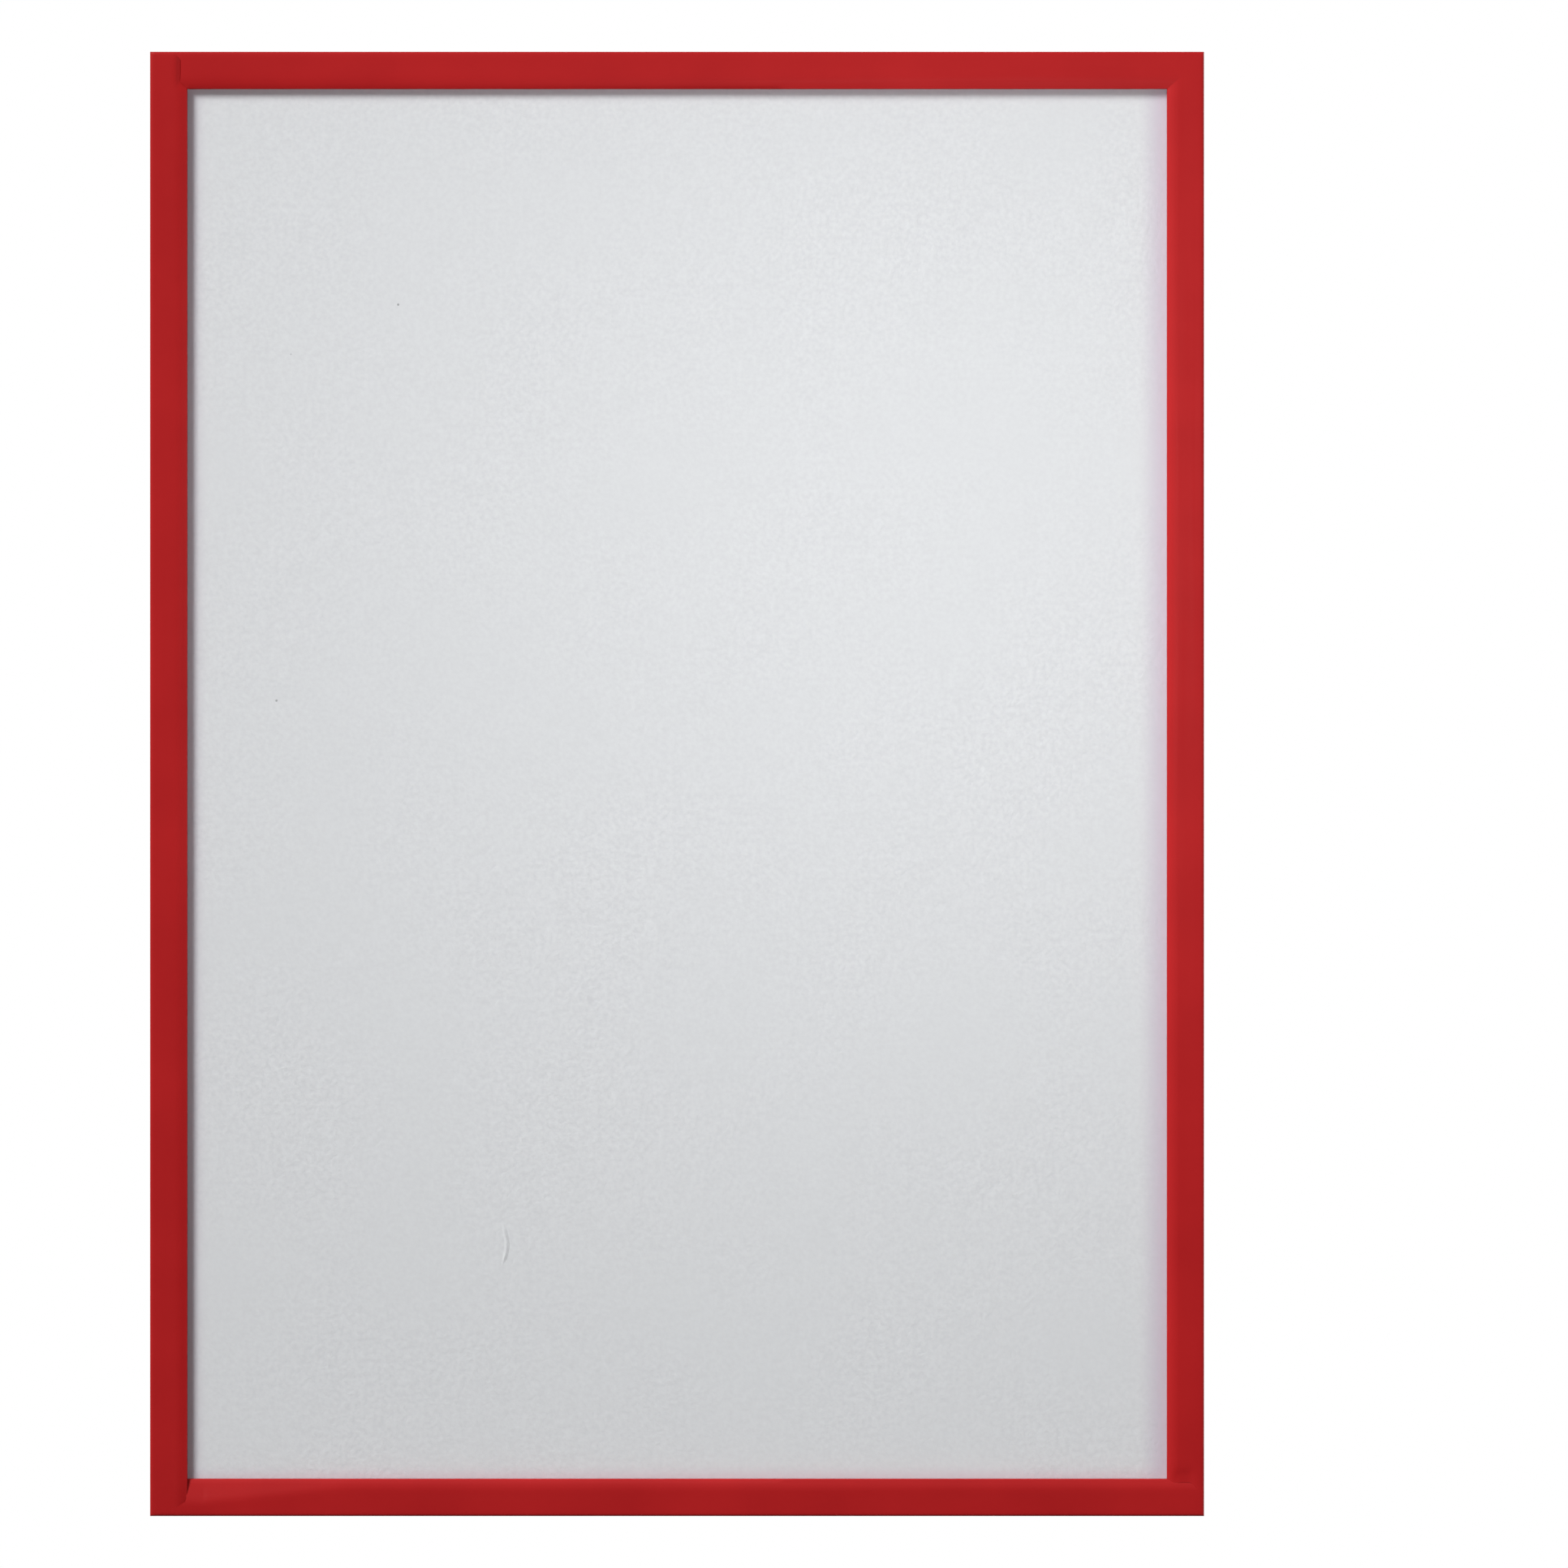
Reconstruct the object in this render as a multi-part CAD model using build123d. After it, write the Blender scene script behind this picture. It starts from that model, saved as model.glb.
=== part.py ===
from build123d import *
import os

# A magnetic frame for one A4 sheet. Front faces -Y, +Z is up, and the origin is the middle of the
# plane in which the magnet strips lie against a steel surface. Millimetres throughout.

# The sheet that the frame shows
sheet_width = 210.0
sheet_height = 297.0
sheet_thickness = 0.25
sheet_side_gap = 0.3  # to the magnet strips at the left and right
sheet_end_gap = 0.6  # to the magnet strips at the top and bottom
sheet_film_gap = 0.05  # to the window film in front of it

# Flexible magnet strips and the adhesive tape that each one carries
magnet_width = 6.5
magnet_thickness = 1.5
magnet_joint_gap = 0.25  # where the end of one strip meets the side of another
magnet_wall_gap = 0.15  # between a strip and the outer wall of the bar in front of it
magnet_proud = 0.8  # how far the strips stand out behind the outer wall
magnet_tape_thickness = 0.1

# Window film and the adhesive tapes between it and the bars
film_thickness = 0.25
film_wall_gap = 0.1  # between the film's edge and the outer wall
film_tape_thickness = 0.1
film_tape_setback = 0.25  # from the edges of the magnet strip behind it

# Bars of the frame, one profile all round
front_thickness = 2.0  # from the front face to the seat of the film tape
outer_wall = 0.55
inner_lip = 0.7  # flange that reaches past the magnet strip to the window
edge_radius = 0.6  # outer edge of the front face
bevel_width = 1.75  # slope down to the window, measured across the bar
bevel_depth = 0.45
seam_gap = 0.08  # where the end of one bar is fitted to the side of another

# Outline of the frame, from the sheet outwards
magnet_inset = outer_wall + magnet_wall_gap
bar_width = magnet_inset + magnet_width + inner_lip
frame_width = sheet_width + 2 * (sheet_side_gap + magnet_width + magnet_inset)
frame_height = sheet_height + 2 * (sheet_end_gap + magnet_width + magnet_inset)
window_width = frame_width - 2 * bar_width
window_height = frame_height - 2 * bar_width

# Depths of the layers, from the steel surface forwards
back_plane = 0.0
magnet_front = back_plane - magnet_thickness
film_back = magnet_front - magnet_tape_thickness
film_front = film_back - film_thickness
seat = film_front - film_tape_thickness
front_face = seat - front_thickness
wall_back = back_plane - magnet_proud
overrun = 2 * front_thickness  # how far a cutting body passes the faces that it cuts

# The left pieces run the full height. The top and bottom ones end against them, and the right ones
# end between the top and bottom. Each entry: does the piece end against another at its start, its stop?
ends_against = {
    "left": (False, False),
    "top": (True, False),
    "bottom": (False, True),
    "right": (True, True),
}


def side_plane(side):
    """Plane at a side's first corner: x goes inwards over the bar, y is depth, z goes along the side."""
    x, z = frame_width / 2, frame_height / 2
    origin, inwards, along = {
        "left": ((-x, 0, -z), (1, 0, 0), (0, 0, 1)),
        "top": ((-x, 0, z), (0, 0, -1), (1, 0, 0)),
        "right": ((x, 0, z), (-1, 0, 0), (0, 0, -1)),
        "bottom": ((x, 0, -z), (0, 0, 1), (-1, 0, 0)),
    }[side]
    return Plane(origin=origin, x_dir=inwards, z_dir=along)


def side_length(side):
    return frame_height if side in ("left", "right") else frame_width


def slab(width, height, front, back):
    """A rectangular slab centred on the frame, between two depths."""
    return Pos(0, (front + back) / 2, 0) * Box(width, back - front, height)


def strip(side, inset, width, front, back, joint_gap):
    """A flat strip along one side, inset alike from the outer edges, with its joints on the named gap."""
    against_start, against_stop = ends_against[side]
    fitted = inset + width + joint_gap
    start = fitted if against_start else inset
    stop = side_length(side) - (fitted if against_stop else inset)
    section = Pos(inset + width / 2, (front + back) / 2) * Rectangle(width, back - front)
    return extrude(side_plane(side).offset(start) * section, stop - start)


def bevel_cutter():
    """The flared mouth of the window: its slopes meet in mitres at the four inner corners."""
    mouth = Rectangle(window_width + 2 * bevel_width, window_height + 2 * bevel_width)
    throat = Rectangle(window_width, window_height)
    return loft(
        [
            Plane.XZ.offset(-front_face) * mouth,
            Plane.XZ.offset(-front_face - bevel_depth) * throat,
        ],
        ruled=True,
    )


def frame_ring():
    """The frame in one piece: front wall, rounded outer edge, outer wall, film seat and bevelled window."""
    ring = slab(frame_width, frame_height, front_face, wall_back)
    ring -= slab(frame_width - 2 * outer_wall, frame_height - 2 * outer_wall, seat, back_plane)
    ring -= slab(window_width, window_height, front_face - overrun, back_plane)
    ring -= bevel_cutter()
    rim = ring.faces().sort_by(Axis.Y)[0].outer_wire().edges()
    return fillet(rim, edge_radius)


def bar_space(side, gap):
    """All that lies outwards of a bar's bevel and inner wall, moved inwards by a gap, past both ends."""
    crest = bar_width - bevel_width + gap
    inner = bar_width + gap
    outline = Polyline(
        (-overrun, front_face - overrun),
        (crest, front_face - overrun),
        (crest, front_face),
        (inner, front_face + bevel_depth),
        (inner, back_plane + overrun),
        (-overrun, back_plane + overrun),
        close=True,
    )
    section = side_plane(side).offset(-overrun) * make_face(outline)
    return extrude(section, side_length(side) + 2 * overrun)


def frame_bars():
    """The ring parted at its corners. Each fitted end is coped over the bevel of the bar that it meets."""
    rest = frame_ring()
    bars = {}
    for side in ends_against:
        bars[side] = rest & bar_space(side, 0)
        rest -= bar_space(side, seam_gap)
    return bars


def magnet_strip(side):
    return strip(side, magnet_inset, magnet_width, magnet_front, back_plane, magnet_joint_gap)


def magnet_tape(side):
    return strip(side, magnet_inset, magnet_width, film_back, magnet_front, magnet_joint_gap)


def film_tape(side):
    inset = magnet_inset + film_tape_setback
    width = magnet_width - 2 * film_tape_setback
    return strip(side, inset, width, seat, film_front, magnet_joint_gap)


def window_film():
    margin = 2 * (outer_wall + film_wall_gap)
    return slab(frame_width - margin, frame_height - margin, film_front, film_back)


def insert_sheet():
    front = film_back + sheet_film_gap
    return slab(sheet_width, sheet_height, front, front + sheet_thickness)


pieces = {"window_film": window_film(), "insert_sheet": insert_sheet()}
for side, bar in frame_bars().items():
    pieces[f"frame_bar_{side}"] = bar
    pieces[f"film_tape_{side}"] = film_tape(side)
    pieces[f"magnet_tape_{side}"] = magnet_tape(side)
    pieces[f"magnet_strip_{side}"] = magnet_strip(side)

os.makedirs("parts", exist_ok=True)
for node, piece in pieces.items():
    export_step(piece, f"parts/{node}.step")
print(f"frame {frame_width:.2f} x {frame_height:.2f} x {back_plane - front_face:.2f} mm, {len(pieces)} pieces")
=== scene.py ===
import math

import bmesh
import bpy
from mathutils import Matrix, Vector


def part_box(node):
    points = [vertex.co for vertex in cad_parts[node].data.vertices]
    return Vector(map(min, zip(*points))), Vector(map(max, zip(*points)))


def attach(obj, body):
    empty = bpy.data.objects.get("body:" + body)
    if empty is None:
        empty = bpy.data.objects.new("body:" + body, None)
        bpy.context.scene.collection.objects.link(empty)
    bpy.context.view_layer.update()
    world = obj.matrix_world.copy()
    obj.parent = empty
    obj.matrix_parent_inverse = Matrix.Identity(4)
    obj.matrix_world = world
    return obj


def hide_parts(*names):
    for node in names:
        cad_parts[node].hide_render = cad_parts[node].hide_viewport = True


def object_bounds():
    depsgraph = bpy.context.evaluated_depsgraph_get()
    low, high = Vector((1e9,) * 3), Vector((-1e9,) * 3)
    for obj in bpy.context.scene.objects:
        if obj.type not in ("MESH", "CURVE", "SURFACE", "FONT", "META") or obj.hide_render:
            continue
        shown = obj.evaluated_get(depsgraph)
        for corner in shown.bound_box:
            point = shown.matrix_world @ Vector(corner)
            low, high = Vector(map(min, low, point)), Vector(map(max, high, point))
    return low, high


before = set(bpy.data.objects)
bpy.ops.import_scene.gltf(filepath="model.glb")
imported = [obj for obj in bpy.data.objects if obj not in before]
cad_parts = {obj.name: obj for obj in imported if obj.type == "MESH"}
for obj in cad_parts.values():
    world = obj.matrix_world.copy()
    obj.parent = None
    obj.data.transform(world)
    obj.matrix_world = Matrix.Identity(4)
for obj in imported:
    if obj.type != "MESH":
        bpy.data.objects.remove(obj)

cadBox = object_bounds()
mm = 0.001  # bars and strips are shaped in millimetres, then brought to metres
hair = 0.001  # millimetres between places that count as one


# sizes that every piece shares, read from the frame, in millimetres
outerLow, outerHigh = (Vector(corner) / mm for corner in cadBox)
frameWidth = outerHigh.x - outerLow.x
frameHeight = outerHigh.z - outerLow.z
barLow, barHigh = (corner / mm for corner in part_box("frame_bar_left"))
barWidth = barHigh.x - barLow.x
frontFace = barLow.y
wallBack = barHigh.y
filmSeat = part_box("film_tape_left")[0].y / mm
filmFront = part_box("window_film")[0].y / mm
stripLow, stripHigh = (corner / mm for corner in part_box("magnet_strip_left"))
stripInset = stripLow.x - outerLow.x
stripWidth = stripHigh.x - stripLow.x

# every side is shaped upright at the origin: x inwards over the bar, z along it. fitted says which of
# its two ends meets another bar
sides = {
    "left": {"turn": 0, "corner": (-1, -1), "fitted": (False, False), "length": frameHeight},
    "top": {"turn": 90, "corner": (-1, 1), "fitted": (True, False), "length": frameWidth},
    "right": {"turn": 180, "corner": (1, 1), "fitted": (True, True), "length": frameHeight},
    "bottom": {"turn": 270, "corner": (1, -1), "fitted": (False, True), "length": frameWidth},
}


# modelling

def addBlock(name, low, high):
    bpy.ops.object.select_all(action="DESELECT")
    low, high = Vector(low), Vector(high)
    bpy.ops.mesh.primitive_cube_add(size=1, location=(low + high) / 2)
    block = bpy.context.active_object
    block.name = name
    block.data.name = name
    block.scale = high - low
    bpy.ops.object.transform_apply(location=True, rotation=True, scale=True)
    bpy.ops.object.mode_set(mode="EDIT")
    return block


def pick(piece, kind, test):
    bpy.ops.mesh.select_mode(type=kind)
    bpy.ops.mesh.select_all(action="DESELECT")
    cage = bmesh.from_edit_mesh(piece.data)
    for item in {"VERT": cage.verts, "EDGE": cage.edges, "FACE": cage.faces}[kind]:
        if test(item):
            item.select_set(True)
    cage.select_flush_mode()
    bmesh.update_edit_mesh(piece.data)


def edgeOn(edge, test):
    return all(test(vert.co) for vert in edge.verts)


def near(a, b, room=0.01):
    return abs(a - b) < room


def cutAt(axis, place):
    bpy.ops.mesh.select_all(action="SELECT")
    at = [0, 0, 0]
    at[axis] = place
    normal = [0, 0, 0]
    normal[axis] = 1
    bpy.ops.mesh.bisect(plane_co=at, plane_no=normal)


def soften(offset, steps):
    bpy.ops.mesh.bevel(offset=offset, segments=steps, profile=0.5, affect="EDGES", clamp_overlap=False)


def closeBlock():
    bpy.ops.mesh.select_all(action="SELECT")
    bpy.ops.mesh.normals_make_consistent(inside=False)
    bpy.ops.object.mode_set(mode="OBJECT")


def evenSteps(low, high, spacing):
    return [low + spacing * step for step in range(1, round((high - low) / spacing) + 1)]


def smoothStep(low, high, value):
    share = min(max((value - low) / (high - low), 0), 1)
    return share * share * (3 - 2 * share)


def softWindow(rise, full, fade, end, value):
    return smoothStep(rise, full, value) * (1 - smoothStep(fade, end, value))


def press(piece, name, axis, depth, weightAt, texture=None, least=0.001):
    # moves the vertices along one axis, each by its own share of the depth
    group = piece.vertex_groups.new(name=name)
    for vert in piece.data.vertices:
        share = weightAt(vert.co)
        if share > least:
            group.add([vert.index], share, "REPLACE")
    push = piece.modifiers.new(name, "DISPLACE")
    push.direction = axis
    push.strength = depth
    push.mid_level = 0.0
    push.vertex_group = name
    if texture:
        push.texture = texture
        push.texture_coords = "LOCAL"
        push.mid_level = 0.5
    bpy.context.view_layer.objects.active = piece
    bpy.ops.object.modifier_apply(modifier=name)
    piece.vertex_groups.remove(piece.vertex_groups[name])


def unevenness(name, size):
    clouds = bpy.data.textures.new(name, "CLOUDS")
    clouds.noise_scale = size
    clouds.noise_depth = 2
    return clouds


def alongSide(side, node):
    # where a CAD piece starts and stops along its side, in millimetres
    low, high = (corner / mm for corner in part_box(node))
    if side == "left":
        return low.z - outerLow.z, high.z - outerLow.z
    if side == "top":
        return low.x - outerLow.x, high.x - outerLow.x
    if side == "right":
        return outerHigh.z - high.z, outerHigh.z - low.z
    return outerHigh.x - high.x, outerHigh.x - low.x


def putOnSide(piece, side):
    turn, corner = sides[side]["turn"], sides[side]["corner"]
    piece.rotation_euler = (0, math.radians(turn), 0)
    piece.location = (corner[0] * frameWidth / 2 * mm, 0, corner[1] * frameHeight / 2 * mm)
    piece.scale = (mm, mm, mm)
    bpy.ops.object.select_all(action="DESELECT")
    piece.select_set(True)
    bpy.context.view_layer.objects.active = piece
    bpy.ops.object.transform_apply(location=True, rotation=True, scale=True)


def setFinish(piece, material):
    piece.data.materials.clear()
    piece.data.materials.append(material)


def finishPiece(piece, material, body, slot, *nodes):
    setFinish(piece, material)
    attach(piece, body)
    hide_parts(*nodes)


# materials

def feed(tree, node, values):
    # each value is another node's output, a number or vector, or a colour without its alpha
    for name, value in values.items():
        socket = node.inputs[name]
        if isinstance(value, bpy.types.NodeSocket):
            tree.links.new(value, socket)
        elif socket.type == "RGBA":
            socket.default_value = (*value, 1)
        else:
            socket.default_value = value


def addNode(tree, kind, place, settings=None, values=None):
    made = tree.nodes.new(kind)
    made.location = place
    for name, value in (settings or {}).items():
        setattr(made, name, value)
    feed(tree, made, values or {})
    return made


def startMaterial(name):
    material = bpy.data.materials.new(name)
    material.use_nodes = True
    tree = material.node_tree
    tree.nodes.clear()
    surface = addNode(tree, "ShaderNodeBsdfPrincipled", (500, 0))
    addNode(tree, "ShaderNodeOutputMaterial", (900, 0), values={"Surface": surface.outputs["BSDF"]})
    coords = addNode(tree, "ShaderNodeTexCoord", (-1300, 0))
    return material, tree, surface, coords.outputs["Object"]


def mixSurface(tree, place, share, surface, other):
    # some of the other shader in the material's surface
    mix = addNode(tree, "ShaderNodeMixShader", place, values={0: share, 1: surface.outputs["BSDF"], 2: other})
    end = next(node for node in tree.nodes if node.type == "OUTPUT_MATERIAL")
    feed(tree, end, {"Surface": mix.outputs["Shader"]})


def calculate(tree, place, operation, *terms):
    made = addNode(tree, "ShaderNodeMath", place, {"operation": operation}, dict(enumerate(terms)))
    return made.outputs["Value"]


def addNoise(tree, place, vector, scale, detail=2.0, roughness=0.5):
    noise = addNode(tree, "ShaderNodeTexNoise", place, values={
        "Vector": vector, "Scale": scale, "Detail": detail, "Roughness": roughness})
    return noise.outputs["Fac"]


def stretch(tree, place, vector, along, share):
    # draws a pattern out along one axis
    mapping = addNode(tree, "ShaderNodeMapping", place, values={
        "Vector": vector, "Scale": [share if axis == along else 1 for axis in "XYZ"]})
    return mapping.outputs["Vector"]


def splitAxes(tree, place, vector):
    return addNode(tree, "ShaderNodeSeparateXYZ", place, values={"Vector": vector}).outputs


def span(tree, place, value, low, high, fromLow=0.3, fromHigh=0.7, course="LINEAR"):
    spread = addNode(tree, "ShaderNodeMapRange", place, {"interpolation_type": course}, {
        "Value": value, "From Min": fromLow, "From Max": fromHigh, "To Min": low, "To Max": high})
    return spread.outputs["Result"]


def blendColours(tree, place, share, first, second):
    mix = addNode(tree, "ShaderNodeMix", place, {"data_type": "RGBA"}, {
        "Factor": share, "A": first, "B": second})
    return mix.outputs["Result"]


def addBump(tree, place, height, depth, onTop=None):
    bump = addNode(tree, "ShaderNodeBump", place, values={"Height": height, "Distance": depth})
    if onTop:
        feed(tree, bump, {"Normal": onTop})
    return bump.outputs["Normal"]


def distanceFrom(tree, place, vector, x, z):
    # in metres, from a place on the film's front given in millimetres
    away = addNode(tree, "ShaderNodeVectorMath", place, {"operation": "DISTANCE"}, {
        0: vector, 1: Vector((x, filmFront, z)) * mm})
    return away.outputs["Value"]


def addSpots(tree, place, vector, spots):
    # round marks on the film, each with its place and radius in millimetres and its strength
    total = 0
    for x, z, radius, strength in spots:
        away = distanceFrom(tree, place, vector, x, z)
        spot = span(tree, place, away, strength, 0, radius * mm / 2, radius * mm)
        total = calculate(tree, place, "MAXIMUM", total, spot)
    return total


def windowShare(tree, place, vector, fade, aside=0, relief=0, course="LINEAR"):
    # 1 within the window, falling to 0 between two distances outwards from its edge, in millimetres. aside
    # moves this to the left, and relief widens it at the top and bottom
    axes = splitAxes(tree, place, vector)
    shares = []
    for axis, size, shift, room in (("X", frameWidth, aside, 0), ("Z", frameHeight, 0, relief)):
        moved = calculate(tree, place, "ADD", axes[axis], shift * mm)
        fromMiddle = calculate(tree, place, "ABSOLUTE", moved)
        fullAt, goneAt = ((size / 2 - barWidth + room + limit) * mm for limit in fade)
        shares.append(span(tree, place, fromMiddle, 1, 0, fullAt, goneAt, course))
    return calculate(tree, place, "MULTIPLY", *shares)


redLook = {
    "deep": (0.380, 0.0072, 0.0085),
    "light": (0.426, 0.0096, 0.0108),
    "specular": 0.14,
    "thinWidth": 2.6,  # round the window the plastic is thin: its colour is painted lighter there, a painted glow for light that comes through it, and its wall lets red light through
    "paintedThinGlow": 1.07,
    "glow": 0.9,
    "glowFrom": 0.96,  # share of that thinness from which light comes through
    "glowReach": (1.0, 0.1, 0.1),
    "glowScale": 0.004,
    "mottleScale": 45.0,
    "lineScale": 1500.0,  # lines of the extrusion, per metre across
    "lineStretch": 0.012,
    "grainScale": 4200.0,
    "roughness": (0.50, 0.60),
    "grainDepth": 0.000004,
    "lineDepth": 0.000003,
}


def makeRedPlastic(name, along):
    look = redLook
    material, tree, surface, place = startMaterial(name)
    drawn = stretch(tree, (-1100, -300), place, along, look["lineStretch"])
    mottle = addNoise(tree, (-900, 200), place, look["mottleScale"], detail=4)
    lines = addNoise(tree, (-900, -300), drawn, look["lineScale"], detail=3)
    grain = addNoise(tree, (-900, -600), place, look["grainScale"], detail=3)
    shade = span(tree, (-600, 200), mottle, 0, 1)
    colour = blendColours(tree, (-300, 200), shade, look["deep"], look["light"])
    thin = windowShare(tree, (-600, 500), place, (0, look["thinWidth"]))
    # painted glow: the colour is lighter over the thin plastic round the window, standing in for light that
    # comes through it
    paintedGlowColour = addNode(tree, "ShaderNodeVectorMath", (200, 300), {"operation": "SCALE"}, {
        "Vector": colour, "Scale": span(tree, (-100, 300), thin, 1, look["paintedThinGlow"], 0, 1)})
    normal = addBump(tree, (-300, -300), lines, look["lineDepth"])
    normal = addBump(tree, (0, -300), grain, look["grainDepth"], onTop=normal)
    feed(tree, surface, {
        "Base Color": paintedGlowColour.outputs["Vector"],
        "Roughness": span(tree, (-600, -100), lines, *look["roughness"]),
        "Specular IOR Level": look["specular"],
        "Subsurface Weight": span(tree, (-100, 500), thin, 0, look["glow"], look["glowFrom"], 1),
        "Subsurface Radius": look["glowReach"],
        "Subsurface Scale": look["glowScale"],
        "Normal": normal,
    })
    return material


filmLook = {
    # painted shade and light of the film's embossed grain: darker in its hollows, lighter on its rises
    "paintedHollowShade": (0.828, 0.838, 0.853),
    "paintedRiseLight": (0.913, 0.923, 0.938),
    "edge": (0.69, 0.63, 0.73),  # painted shade with painted red bounce light: the film is darker and mauve towards the bars, most of all at the right
    "paintedShadeFade": (-5.5, 1.0),
    "paintedShadeAside": 1.0,
    "paintedShadeRelief": 2.0,
    "specular": 0.25,
    "clear": 0.62,  # share of the light that each face lets straight through
    "roughness": (0.46, 0.58),
    "grainScale": 1000.0,
    "patchScale": 22.0,  # the grain shows more in some patches than in others
    "patch": (0.3, 1.1),
    "waveScale": 16.0,
    "grainDepth": 0.00005,
    "waveDepth": 0.00012,
    "creaseAt": (-43.9, -98.4),  # a short curved crease: middle of its curve, radius, width
    "creaseRadius": 7.5,
    "creaseWidth": 0.6,
    "creaseFade": (1.1, 0.5),  # it fades at its ends, this far inside its outermost point
    "creaseDepth": 0.00018,
    "speck": (0.05, 0.05, 0.055),
    "specks": (  # place, radius and strength of each speck of dust, and of one soft spot
        (-59.6, 102.4, 0.28, 1.0),
        (-82.5, 91.8, 0.22, 0.5),
        (-85.6, 17.8, 0.28, 1.0),
        (-18.7, -46.1, 1.2, 0.05),
    ),
}


def addCrease(tree, vector):
    # the outermost part, to the right, of a ring round the middle of its curve
    look = filmLook
    x, z = look["creaseAt"]
    away = distanceFrom(tree, (-900, -800), vector, x, z)
    offset = calculate(tree, (-700, -800), "SUBTRACT", away, look["creaseRadius"] * mm)
    fromLine = calculate(tree, (-500, -800), "ABSOLUTE", offset)
    ring = span(tree, (-300, -800), fromLine, 1, 0, 0, look["creaseWidth"] * mm)
    faint, full = (x + look["creaseRadius"] - fade for fade in look["creaseFade"])
    axes = splitAxes(tree, (-900, -1000), vector)
    outermost = span(tree, (-300, -1000), axes["X"], 0, 1, faint * mm, full * mm)
    return calculate(tree, (-100, -800), "MULTIPLY", ring, outermost)


def makeClearFilm():
    look = filmLook
    material, tree, surface, place = startMaterial("matteClearFilm")
    fine = addNoise(tree, (-900, 0), place, look["grainScale"])
    waves = addNoise(tree, (-900, -400), place, look["waveScale"])
    patches = addNoise(tree, (-900, 300), place, look["patchScale"])

    # the grain swings about zero, so that a patch only changes its strength, and is then brought back
    swing = span(tree, (-700, 200), fine, -0.5, 0.5)
    strength = span(tree, (-700, 300), patches, *look["patch"])
    grain = calculate(tree, (-500, 200), "MULTIPLY_ADD", swing, strength, 0.5)

    # the grain's colour paints the shade and light of its relief, which the bump also shows
    colour = blendColours(tree, (-300, 200), grain, look["paintedHollowShade"], look["paintedRiseLight"])
    # painted shade: the film's colour turns darker and mauve towards the bars, most of all at the right
    middle = windowShare(tree, (-600, 800), place, look["paintedShadeFade"], look["paintedShadeAside"], look["paintedShadeRelief"],
                         "SMOOTHSTEP")
    colour = blendColours(tree, (-150, 300), middle, look["edge"], colour)
    marks = addSpots(tree, (-600, 500), place, look["specks"])
    colour = blendColours(tree, (0, 300), marks, colour, look["speck"])
    normal = addBump(tree, (-300, -300), waves, look["waveDepth"])
    normal = addBump(tree, (0, -300), grain, look["grainDepth"], onTop=normal)
    normal = addBump(tree, (200, -500), addCrease(tree, place), look["creaseDepth"], onTop=normal)
    feed(tree, surface, {
        "Base Color": colour,
        "Roughness": span(tree, (-600, 0), grain, *look["roughness"], 0, 1),
        "Specular IOR Level": look["specular"],
        "Normal": normal,
    })
    through = addNode(tree, "ShaderNodeBsdfTransparent", (500, 200))
    mixSurface(tree, (700, 100), look["clear"], surface, through.outputs["BSDF"])
    return material


cardLook = {
    "cool": (0.80, 0.815, 0.83),
    "warm": (0.84, 0.85, 0.855),
    "specular": 0.2,
    "roughness": (0.6, 0.75),
    "fibreScale": 1100.0,
    "fibreDepth": 0.00002,
}


def makeWhiteCard():
    look = cardLook
    material, tree, surface, place = startMaterial("whiteCard")
    fibres = addNoise(tree, (-900, 0), place, look["fibreScale"], detail=6, roughness=0.65)
    shade = span(tree, (-600, 200), fibres, 0, 1)
    feed(tree, surface, {
        "Base Color": blendColours(tree, (-300, 200), shade, look["cool"], look["warm"]),
        "Roughness": span(tree, (-600, -100), fibres, *look["roughness"]),
        "Specular IOR Level": look["specular"],
        "Normal": addBump(tree, (0, -300), fibres, look["fibreDepth"]),
    })
    return material


magnetLook = {
    "dark": (0.017, 0.0092, 0.0086),
    "light": (0.034, 0.0205, 0.019),
    "specular": 0.12,
    "roughness": (0.5, 0.7),
    "lineScale": 2600.0,
    "lineStretch": 0.02,
    "speckScale": 6500.0,
    "lineDepth": 0.000012,
    "speckDepth": 0.000006,
}


def makeMagnetRubber(name, along):
    look = magnetLook
    material, tree, surface, place = startMaterial(name)
    drawn = stretch(tree, (-1100, -300), place, along, look["lineStretch"])
    lines = addNoise(tree, (-900, -300), drawn, look["lineScale"], detail=4, roughness=0.6)
    specks = addNoise(tree, (-900, -600), place, look["speckScale"])
    shade = span(tree, (-600, 200), lines, 0, 1)
    normal = addBump(tree, (-300, -300), lines, look["lineDepth"])
    normal = addBump(tree, (0, -300), specks, look["speckDepth"], onTop=normal)
    feed(tree, surface, {
        "Base Color": blendColours(tree, (-300, 200), shade, look["dark"], look["light"]),
        "Roughness": span(tree, (-600, -100), specks, *look["roughness"]),
        "Specular IOR Level": look["specular"],
        "Normal": normal,
    })
    return material


tapeLook = {
    "pale": (0.78, 0.75, 0.67),
    "milky": (0.84, 0.82, 0.76),
    "alpha": 0.8,
    "roughness": (0.35, 0.5),
    "foamScale": 2400.0,
    "foamDepth": 0.00001,
}


def makeAdhesiveTape():
    look = tapeLook
    material, tree, surface, place = startMaterial("adhesiveTape")
    foam = addNoise(tree, (-900, 0), place, look["foamScale"], detail=3)
    shade = span(tree, (-600, 200), foam, 0, 1)
    feed(tree, surface, {
        "Base Color": blendColours(tree, (-300, 200), shade, look["pale"], look["milky"]),
        "Roughness": span(tree, (-600, -100), foam, *look["roughness"]),
        "Alpha": look["alpha"],
        "Normal": addBump(tree, (0, -300), foam, look["foamDepth"]),
    })
    return material


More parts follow.
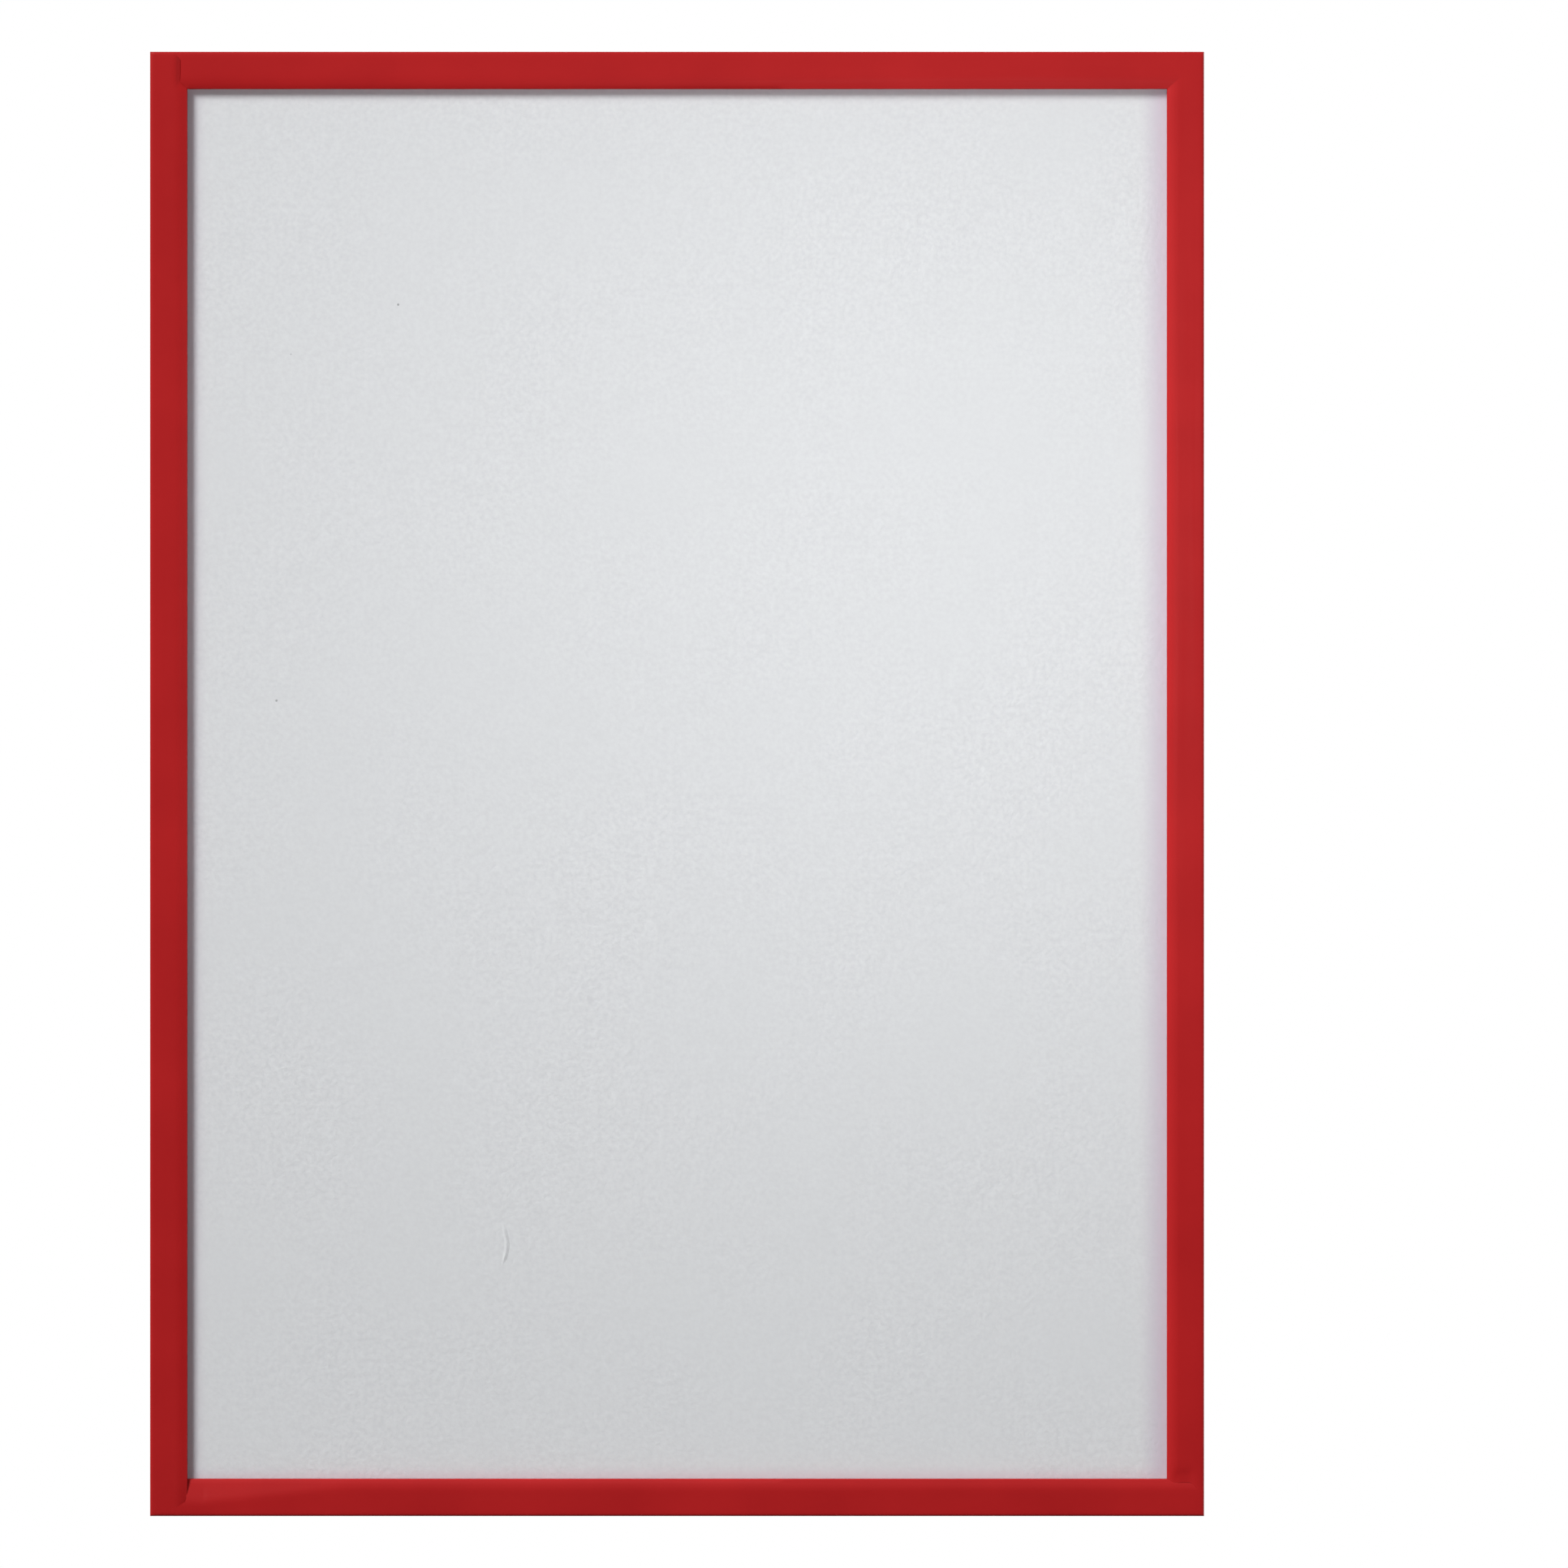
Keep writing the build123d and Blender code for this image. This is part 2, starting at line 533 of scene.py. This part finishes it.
redUpright = makeRedPlastic("redPlasticUpright", "Z")
redLevel = makeRedPlastic("redPlasticLevel", "X")
clearFilm = makeClearFilm()
whiteCard = makeWhiteCard()
rubberUpright = makeMagnetRubber("magnetRubberUpright", "Z")
rubberLevel = makeMagnetRubber("magnetRubberLevel", "X")
adhesiveTape = makeAdhesiveTape()
print("materials made:", len(bpy.data.materials))


# frame bars

barLook = {
    "bevelWidth": 1.75,  # slope down to the window
    "bevelDepth": 0.45,
    "outerWall": 0.55,
    "seam": 0.012,
    "edgeRadius": 0.6,
    "edgeSteps": 6,
    "crestSoft": 0.9,  # how far the soft crest reaches to each side
    "crestSteps": 6,
    "innerSoft": 0.1,
    "innerSteps": 2,
    "crossCuts": (1.3, 1.9, 2.5, 3.1, 3.7, 4.3, 4.8),  # across the flat, from the outer edge
    "endCut": 0.6,  # spacing of the cuts along the bar near its ends and in its middle
    "endReach": 15.0,
    "midCut": 2.0,
    "waveSize": 45.0,
    "waveDepth": 0.06,
    "dentFull": 0.7,  # how far behind the face a dent moves the plastic in full, and at all
    "dentDeep": 1.6,
    "smoothAngle": 32,
}


# the slope down to the window starts with a soft crest, an arc that touches the flat and the slope
slope = math.atan2(barLook["bevelDepth"], barLook["bevelWidth"])
crestRadius = barLook["crestSoft"] / math.tan(slope / 2)
crestStart = barWidth - barLook["bevelWidth"] - barLook["crestSoft"]
bevelFoot = frontFace + barLook["bevelDepth"]

# the same profile as points, each with its place across and its depth: crest in steps, then the foot
halfTurn = slope / barLook["crestSteps"] / 2
cornerRadius = crestRadius / math.cos(halfTurn)
crestTurns = [halfTurn * (2 * step + 1) for step in range(barLook["crestSteps"])]
crestLine = [(crestStart + cornerRadius * math.sin(turn), crestRadius - cornerRadius * math.cos(turn))
             for turn in crestTurns]
crestLine.append((barWidth, barLook["bevelDepth"]))


def levelsOf(bar, test):
    cage = bmesh.from_edit_mesh(bar.data)
    inFront = [vert.co for vert in cage.verts if vert.co.y < bevelFoot - hair]
    return sorted({round(co.y, 3): co.y for co in inFront if test(co)}.values())


def copeEnd(bar, end, way):
    # draws the front of an end out over the crest and slope of the bar that it meets
    for level in levelsOf(bar, lambda co: near(co.z, end)):
        deep = max(level - frontFace, 0)
        upper, lower = next(pair for pair in zip(crestLine, crestLine[1:]) if deep <= pair[1][1] + hair)
        reach = upper[0] + (lower[0] - upper[0]) * (deep - upper[1]) / (lower[1] - upper[1])
        pick(bar, "VERT", lambda vert: near(vert.co.z, end) and near(vert.co.y, level, hair))
        bpy.ops.transform.translate(value=(0, 0, way * (barWidth - reach)))


def makeBar(side):
    look = barLook
    length = sides[side]["length"]
    fitStart, fitStop = sides[side]["fitted"]
    fitted = barWidth + look["seam"]
    start = fitted if fitStart else 0
    stop = length - fitted if fitStop else length
    ends = ((start, 1, fitStart), (stop, -1, fitStop))  # each with the way that leads inwards from it
    fittedEnds = [(end, way) for end, way, fits in ends if fits]
    freeEnds = [(end, way) for end, way, fits in ends if not fits]
    bar = addBlock("redBar" + side.capitalize(), (0, frontFace, start), (barWidth, filmSeat, stop))

    # round edge along the outside and over each free end
    def onRim(edge):
        if not edgeOn(edge, lambda co: near(co.y, frontFace)):
            return False
        overEnd = any(edgeOn(edge, lambda co: near(co.z, end)) for end, way in freeEnds)
        return overEnd or edgeOn(edge, lambda co: near(co.x, 0))

    pick(bar, "EDGE", onRim)
    soften(look["edgeRadius"], look["edgeSteps"])

    # crest and slope, cut by planes that turn step by step
    for step in range(1, look["crestSteps"] + 1):
        turn = slope * step / look["crestSteps"]
        across = crestStart + crestRadius * math.sin(turn)
        depth = frontFace + crestRadius * (1 - math.cos(turn))
        bpy.ops.mesh.select_all(action="SELECT")
        bpy.ops.mesh.bisect(plane_co=(across, depth, 0), plane_no=(math.sin(turn), -math.cos(turn), 0),
                            use_fill=True, clear_outer=True)

    # levels of the slope, cut right through so that a fitted end can follow its neighbour's slope
    def onSlope(co):
        atEnd = any(near(co.z, end) for end, way in fittedEnds)
        return atEnd and co.x > crestStart and co.y > frontFace + hair

    for level in levelsOf(bar, onSlope):
        cutAt(1, level)
    cutAt(1, bevelFoot)
    for end, way in fittedEnds:
        copeEnd(bar, end, -way)

    # the wall behind the outer edge, which also closes a free end
    def onSeat(face):
        return near(face.calc_center_median().y, filmSeat)

    wall = look["outerWall"]
    pick(bar, "FACE", onSeat)
    bpy.ops.mesh.bisect(plane_co=(wall, 0, 0), plane_no=(1, 0, 0))
    for end, way in freeEnds:
        pick(bar, "FACE", onSeat)
        bpy.ops.mesh.bisect(plane_co=(0, 0, end + way * wall), plane_no=(0, 0, 1))

    def onWall(face):
        middle = face.calc_center_median()
        atEnd = any(near(middle.z, end, wall) for end, way in freeEnds)
        return onSeat(face) and (middle.x < wall or atEnd)

    pick(bar, "FACE", onWall)
    bpy.ops.mesh.extrude_region_move(TRANSFORM_OT_translate={"value": (0, wallBack - filmSeat, 0)})
    pick(bar, "EDGE", lambda edge: edgeOn(edge, lambda co: near(co.x, barWidth) and near(co.y, bevelFoot)))
    soften(look["innerSoft"], look["innerSteps"])

    # cuts across and along, so that the face can take dents
    for place in look["crossCuts"]:
        cutAt(0, place)
    endCuts = evenSteps(0, look["endReach"], look["endCut"])
    midCuts = evenSteps(look["endReach"], length / 2, look["midCut"])
    for place in endCuts + midCuts:
        cutAt(2, place)
        cutAt(2, length - place)
    closeBlock()
    return bar


# how the bars sag and twist where they are fitted together. across, from the outer edge: the dent starts,
# is full, starts to fade, has faded, and what is then left of it; along, from the named end: the first four
noStart = (-9, -8)  # before the bar's end: the dent is full from there on
noFade = (90, 91)  # past the bar's inner edge: the dent is full up to it
barDents = {
    "left": [
        {"axis": "Y", "depth": 0.24, "end": "stop",
         "across": (5.0, 6.5, *noFade, 0), "along": (0.6, 2.0, 6.2, 8.6)},
    ],
    "top": [
        {"axis": "Z", "depth": 1.2, "end": "start",
         "across": (0.6, 1.8, 5.2, 6.6, 0), "along": (*noStart, 5.4, 9.0)},
    ],
    "right": [
        {"axis": "Y", "depth": 0.05, "end": "start",
         "across": (4.2, 6.6, *noFade, 0), "along": (*noStart, 6.4, 9.6)},
        {"axis": "Y", "depth": 0.21, "end": "stop",
         "across": (1.2, 3.4, 5.6, 7.9, 0.35), "along": (*noStart, 6.2, 12)},
        {"axis": "Z", "depth": -1.8, "end": "stop",
         "across": (0.6, 3.2, 5.0, 7.6, 0), "along": (*noStart, 6.4, 11)},
    ],
    "bottom": [
        {"axis": "Z", "depth": -2.3, "end": "stop",
         "across": (1.5, 3.5, 5.25, 7.9, 0), "along": (*noStart, 8.2, 13)},
    ],
}

# the bottom bar is also pressed down beside the left one, so that its slope starts wide there and narrows
wedgeLook = {"width": 5.0, "widest": 9.6, "gone": 41.0}


def onFace(co):
    return 1 - smoothStep(frontFace + barLook["dentFull"], frontFace + barLook["dentDeep"], co.y)


def slopeFrom(across):
    # depth of a slope that starts with the soft crest
    soft = barLook["crestSoft"]
    past = (across + soft) ** 2 / (4 * soft) if abs(across) < soft else max(across, 0)
    return past * math.tan(slope)


def pressWedge(bar, length):
    look = wedgeLook
    usual = barLook["bevelWidth"]
    deepest = (look["width"] - usual) * math.tan(slope)

    def share(co):
        left = min(max((look["gone"] - length + co.z) / (look["gone"] - look["widest"]), 0), 1)
        width = usual + (look["width"] - usual) * left
        inside = co.x - barWidth
        return onFace(co) * (slopeFrom(inside + width) - slopeFrom(inside + usual)) / deepest

    press(bar, "wedge", "Y", deepest, share)


def dentBar(bar, side):
    length = sides[side]["length"]
    if side == "bottom":
        pressWedge(bar, length)
    for number, dent in enumerate(barDents[side]):
        rise, full, fade, end, left = dent["across"]

        def share(co):
            fromEnd = co.z if dent["end"] == "start" else length - co.z
            over = smoothStep(rise, full, co.x) * (1 - (1 - left) * smoothStep(fade, end, co.x))
            return onFace(co) * over * softWindow(*dent["along"], fromEnd)

        press(bar, f"dent{number}", dent["axis"], dent["depth"], share)
    waves = unevenness("wave" + side.capitalize(), barLook["waveSize"])
    free = barLook["endReach"]  # the waves leave the ends alone

    def waving(co):
        return onFace(co) * softWindow(free / 2, 2 * free, length - 2 * free, length - free / 2, co.z)

    press(bar, "wave", "Y", barLook["waveDepth"], waving, waves)


for side in sides:
    bar = makeBar(side)
    dentBar(bar, side)
    bpy.ops.object.shade_smooth_by_angle(angle=math.radians(barLook["smoothAngle"]))
    putOnSide(bar, side)
    plastic = redUpright if side in ("left", "right") else redLevel
    finishPiece(bar, plastic, "frame", "red_plastic", "frame_bar_" + side)
    print("bar", side, len(bar.data.vertices), "vertices")


# magnet strips

stripLook = {
    "edgeSoft": 0.12,
    "edgeSteps": 2,
    "cut": 3.0,  # spacing of the cuts along the strip
    "edgeWaveSize": 14.0,
    "edgeWaveDepth": 0.10,
    "faceWaveSize": 30.0,
    "faceWaveDepth": 0.05,
    "smoothAngle": 40,
}


def runsAlong(edge):
    first, second = (vert.co for vert in edge.verts)
    return near(first.x, second.x) and near(first.y, second.y)


def makeStrip(side):
    look = stripLook
    start, stop = alongSide(side, "magnet_strip_" + side)
    low = (stripInset, stripLow.y, start)
    high = (stripInset + stripWidth, stripHigh.y, stop)
    strip = addBlock("magnetStrip" + side.capitalize(), low, high)
    pick(strip, "EDGE", runsAlong)
    soften(look["edgeSoft"], look["edgeSteps"])
    count = round((stop - start) / look["cut"])
    for number in range(1, count):
        cutAt(2, start + (stop - start) * number / count)
    closeBlock()
    for part, axis in (("edge", "X"), ("face", "Y")):
        waves = unevenness(part + side.capitalize(), look[part + "WaveSize"])
        press(strip, part, axis, look[part + "WaveDepth"], lambda co: 1, waves)
    return strip


for side in sides:
    strip = makeStrip(side)
    bpy.ops.object.shade_smooth_by_angle(angle=math.radians(stripLook["smoothAngle"]))
    putOnSide(strip, side)
    rubber = rubberUpright if side in ("left", "right") else rubberLevel
    finishPiece(strip, rubber, "frame", "magnet_rubber", "magnet_strip_" + side)
    print("strip", side, len(strip.data.vertices), "vertices")


# CAD pieces whose shape is right get their finish
cadFinish = {"window_film": clearFilm, "insert_sheet": whiteCard}
for name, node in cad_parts.items():
    finish = adhesiveTape if "tape" in name else cadFinish.get(name)
    if finish:
        setFinish(node, finish)
print("finishes set on the CAD pieces")


# stage, light and camera, in metres

stageLook = {
    "floorBelow": 0.075,  # under the frame's lowest edge
    "floorReach": 4.0,
    "floorSides": 96,
    "floorColour": (0.86, 0.86, 0.86),
    "floorBounce": (0.05, 0.05, 0.05),  # what it throws back on the frame, which hangs clear of any floor
    "floorRoughness": 0.9,
    "fadeFrom": 0.35,  # from here to there the floor fades into the white of the room
    "fadeTo": 0.6,
    "ambient": 0.03,
}


def seenWhite(tree, place):
    # 1 for what the camera sees straight, in a reflection or through something clear
    path = addNode(tree, "ShaderNodeLightPath", place)
    total = path.outputs["Is Camera Ray"]
    for ray in ("Is Glossy Ray", "Is Transmission Ray"):
        total = calculate(tree, (place[0] + 200, place[1]), "MAXIMUM", total, path.outputs[ray])
    return total


def makeRoom():
    world = bpy.data.worlds.new("paleRoom")
    bpy.context.scene.world = world
    world.use_nodes = True
    tree = world.node_tree
    tree.nodes.clear()
    sky = addNode(tree, "ShaderNodeBackground", (400, 0), values={
        "Color": (1, 1, 1),
        "Strength": span(tree, (200, -200), seenWhite(tree, (-300, -200)), stageLook["ambient"], 1, 0, 1),
    })
    addNode(tree, "ShaderNodeOutputWorld", (600, 0), values={"Surface": sky.outputs["Background"]})


def makeFloor():
    look = stageLook
    bpy.ops.object.select_all(action="DESELECT")
    level = cadBox[0][2] - look["floorBelow"]
    bpy.ops.mesh.primitive_circle_add(vertices=look["floorSides"], radius=look["floorReach"],
                                      fill_type="NGON", location=(0, 0, level))
    floor = bpy.context.active_object
    floor.name = "paleFloor"
    material, tree, surface, place = startMaterial("paleFloor")
    seen = seenWhite(tree, (-600, 600))
    feed(tree, surface, {
        "Base Color": blendColours(tree, (200, 0), seen, look["floorBounce"], look["floorColour"]),
        "Roughness": look["floorRoughness"],
    })
    white = addNode(tree, "ShaderNodeEmission", (500, 300), values={"Strength": 1})
    fromMiddle = addNode(tree, "ShaderNodeVectorMath", (-600, 300), {"operation": "LENGTH"}, {0: place})
    fade = span(tree, (-300, 300), fromMiddle.outputs["Value"], 0, 1, look["fadeFrom"], look["fadeTo"])
    share = calculate(tree, (0, 300), "MULTIPLY", fade, seen)
    mixSurface(tree, (700, 200), share, surface, white.outputs["Emission"])
    floor.data.materials.append(material)


lampLook = {
    # the shadow that the key lamp gives a bar is as wide as the bar stands above the film
    "key": {"at": (-2.6, -2.6, 2.6), "aim": (0, 0, 0), "size": 1.75, "power": 230.0},
    "fill": {"at": (0.076, -0.27, 0.065), "aim": (0.076, 0, 0.065), "size": 0.12, "power": 0.285},
    # for the strips and the sheet behind
    "back": {"at": (1.2, 3.0, 1.6), "aim": (0, 0, 0), "size": 1.75, "power": 100.0},
    # for the outer wall that the key lamp can't reach
    "side": {"at": (3.2, 0.35, 0.6), "aim": (0, 0, 0), "size": 1.2, "power": 50.0},
}


def addLamp(name, look):
    lamp = bpy.data.objects.new(name, bpy.data.lights.new(name, "AREA"))
    bpy.context.scene.collection.objects.link(lamp)
    lamp.location = look["at"]
    lamp.rotation_euler = (Vector(look["aim"]) - Vector(look["at"])).to_track_quat("-Z", "Y").to_euler()
    lamp.data.shape = "DISK"
    lamp.data.size = look["size"]
    lamp.data.energy = look["power"]


# the photograph's frame of 1932 by 1932 pixels, with the outer edges of the object in it
photoLook = {
    "size": 1932,
    "left": 184.7,
    "right": 1483.7,
    "top": 63.5,
    "bottom": 1868.3,
    "distance": 2.0,  # metres from the camera to the front face
}


def makeCamera():
    look = photoLook
    perMetre = (look["right"] - look["left"]) / (frameWidth * mm)
    aside = (look["size"] / 2 - (look["left"] + look["right"]) / 2) / perMetre
    above = ((look["top"] + look["bottom"]) / 2 - look["size"] / 2) / perMetre
    camera = bpy.data.objects.new("photoCamera", bpy.data.cameras.new("photoCamera"))
    bpy.context.scene.collection.objects.link(camera)
    camera.location = (aside, frontFace * mm - look["distance"], above)
    camera.rotation_euler = (math.radians(90), 0, 0)
    camera.data.lens = camera.data.sensor_width * look["distance"] * perMetre / look["size"]
    bpy.context.scene.camera = camera


makeRoom()
makeFloor()
for name, look in lampLook.items():
    addLamp(name + "Lamp", look)
makeCamera()
bpy.context.scene.view_settings.view_transform = "Standard"
print("stage, lamps and camera ready")
